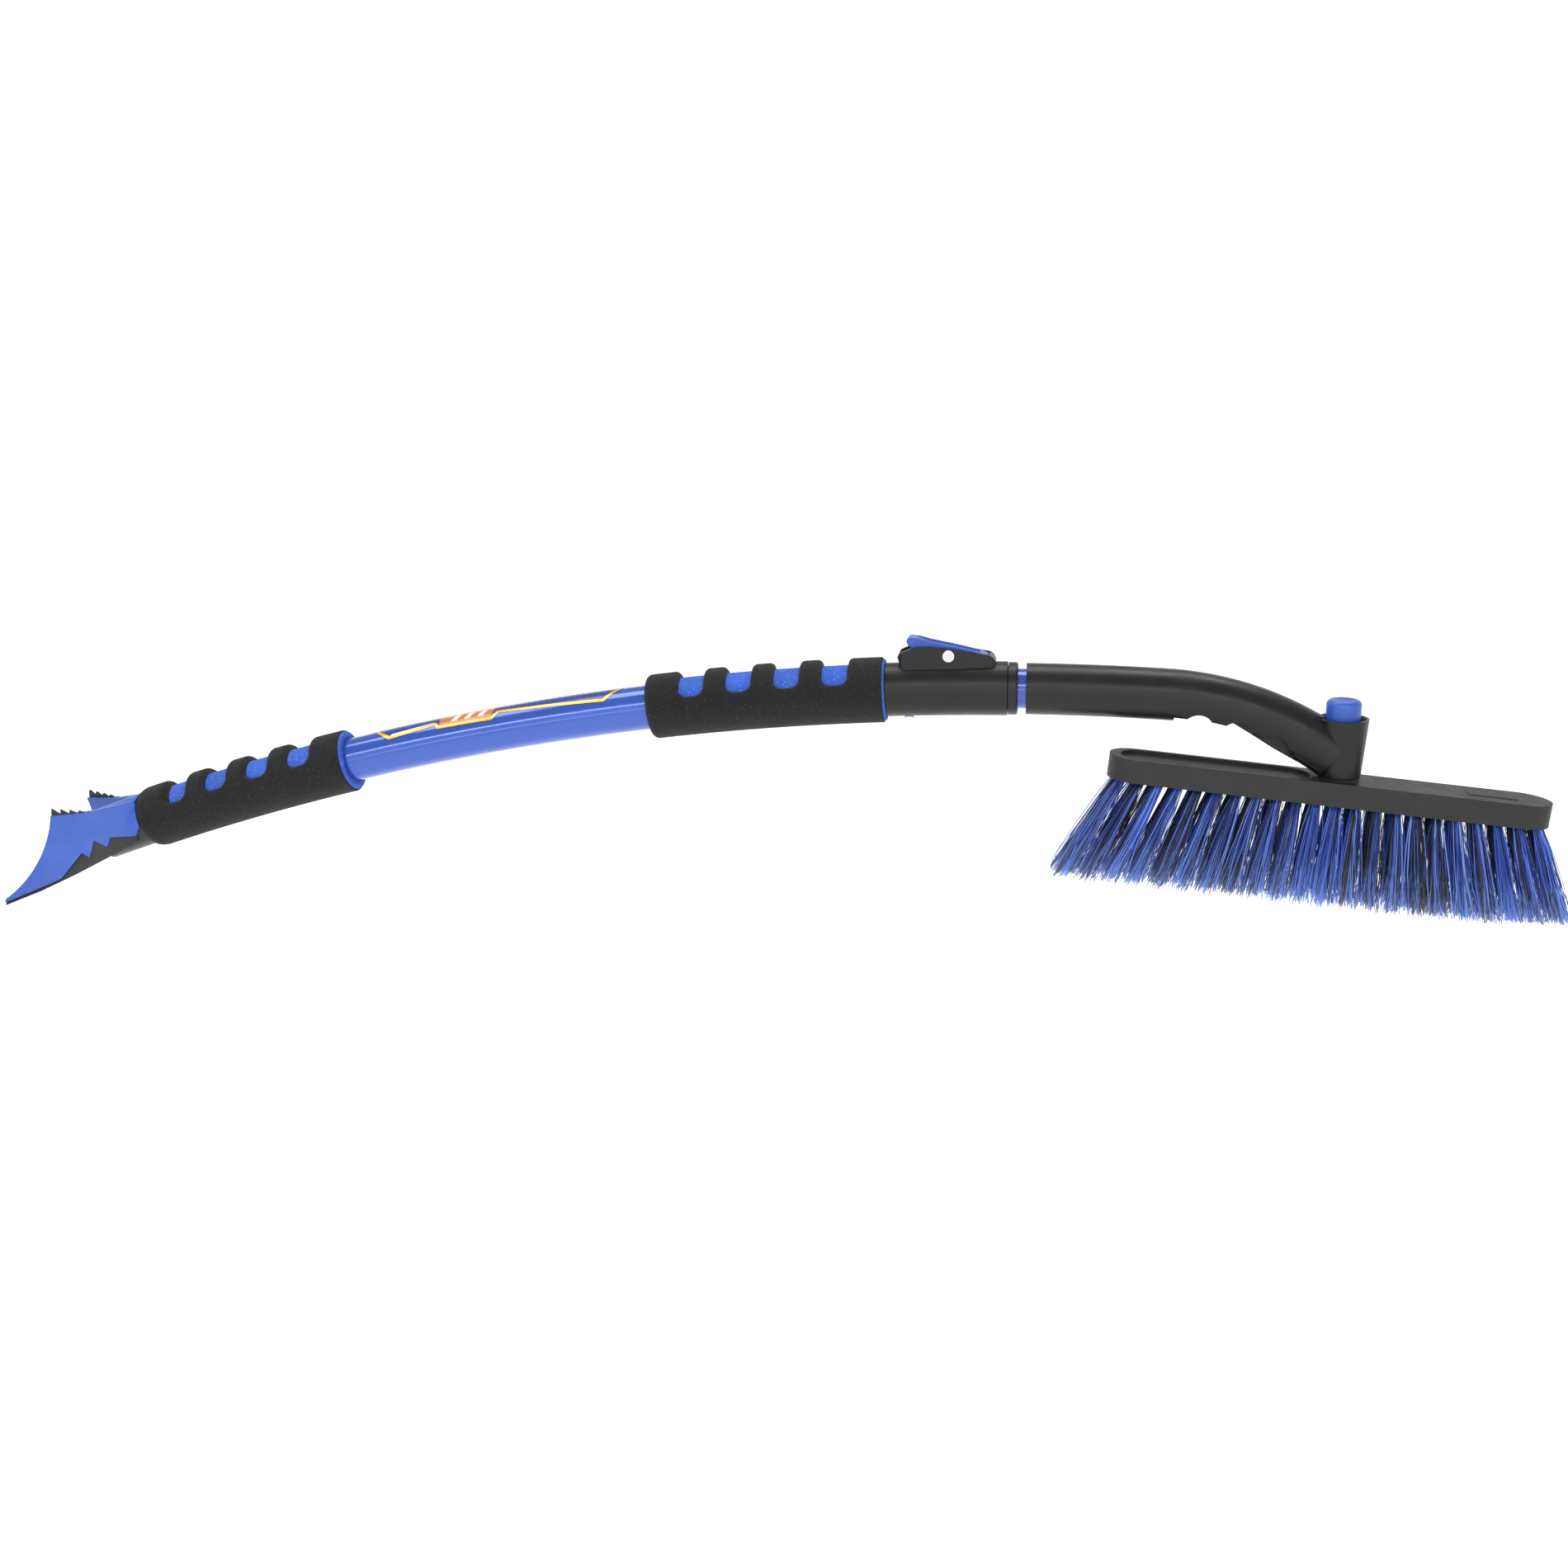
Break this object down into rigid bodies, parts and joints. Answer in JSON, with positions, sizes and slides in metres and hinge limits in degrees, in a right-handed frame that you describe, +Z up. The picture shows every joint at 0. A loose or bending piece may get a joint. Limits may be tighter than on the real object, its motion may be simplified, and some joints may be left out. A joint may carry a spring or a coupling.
{
  "type": "snow brush with ice scraper",
  "caption": "Telescoping curved-handle snow brush: pivoting bristle head at one end, trough-shaped ice scraper at the other, foam grips and a lever lock between.",
  "frame": {"origin": "under the middle of the closed tool, on the surface it rests on, scraper edge and bristle corner down", "axes": "+X from the scraper to the brush, +Y across the tool, +Z up"},
  "size_m": [0.8866, 0.102, 0.1541],
  "materials": {
    "painted_tube": "gloss",
    "inner_tube_blue": "gloss",
    "black_plastic": "satin, fine texture",
    "scraper_black": "satin",
    "blue_plastic": "satin gloss",
    "black_foam": "matte closed-cell foam",
    "blue_foam": "matte closed-cell foam",
    "decal": "printed film",
    "steel": "polished",
    "white_plastic": "natural acetal",
    "block_grey": "matte",
    "bristles": "fibre, blue and black"
  },
  "bodies": {
    "handle": {"outer_tube": "painted_tube", "tube_decal": "decal", "lower_grip_core": "blue_foam", "lower_grip_cover": "black_foam", "upper_grip_core": "blue_foam", "upper_grip_cover": "black_foam", "scraper_body": "scraper_black", "scraper_cover": "blue_plastic", "scraper_pin": "steel", "lock_collar": "black_plastic", "collar_end_ring": "black_plastic", "collar_screw": "steel", "lever_pin": "steel", "lever_spring": "steel"},
    "lever": {"lock_lever": "blue_plastic", "latch_pin": "steel"},
    "arm": {"inner_tube": "inner_tube_blue", "inner_tube_bush": "white_plastic", "brush_arm": "black_plastic", "arm_pin": "steel", "button_spring": "steel"},
    "button": {"release_button": "blue_plastic"},
    "brush_head": {"head_spindle": "white_plastic", "index_ring": "white_plastic", "spindle_washer": "steel", "spindle_screw": "steel", "brush_block": "block_grey", "tuft_row_near": "bristles", "tuft_row_middle": "bristles", "tuft_row_far": "bristles"}
  },
  "joints": [
    {"name": "telescope", "type": "hinge", "parent": "handle", "child": "arm", "pos_m": [0.1359, 0, -1.4548], "axis": [0, 1, 0], "range_deg": [0, 13.78]},
    {"name": "lever_press", "type": "hinge", "parent": "handle", "child": "lever", "pos_m": [0.10655, 0, 0.14433], "axis": [0, -1, 0], "range_deg": [0, 7], "stiffness_Nm_per_rad": 0.6, "springref_deg": -5.73, "deforming": ["lever_spring"]},
    {"name": "head_swivel", "type": "hinge", "parent": "arm", "child": "brush_head", "pos_m": [0.3192, 0, 0.077], "axis": [0.0175, 0, 0.9998], "range_deg": [-90, 90]},
    {"name": "button_press", "type": "slide", "parent": "arm", "child": "button", "axis": [-0.0175, 0, -0.9998], "range_m": [0, 0.004], "stiffness_N_per_m": 1500, "springref_m": -0.004, "deforming": ["button_spring"]}
  ]
}
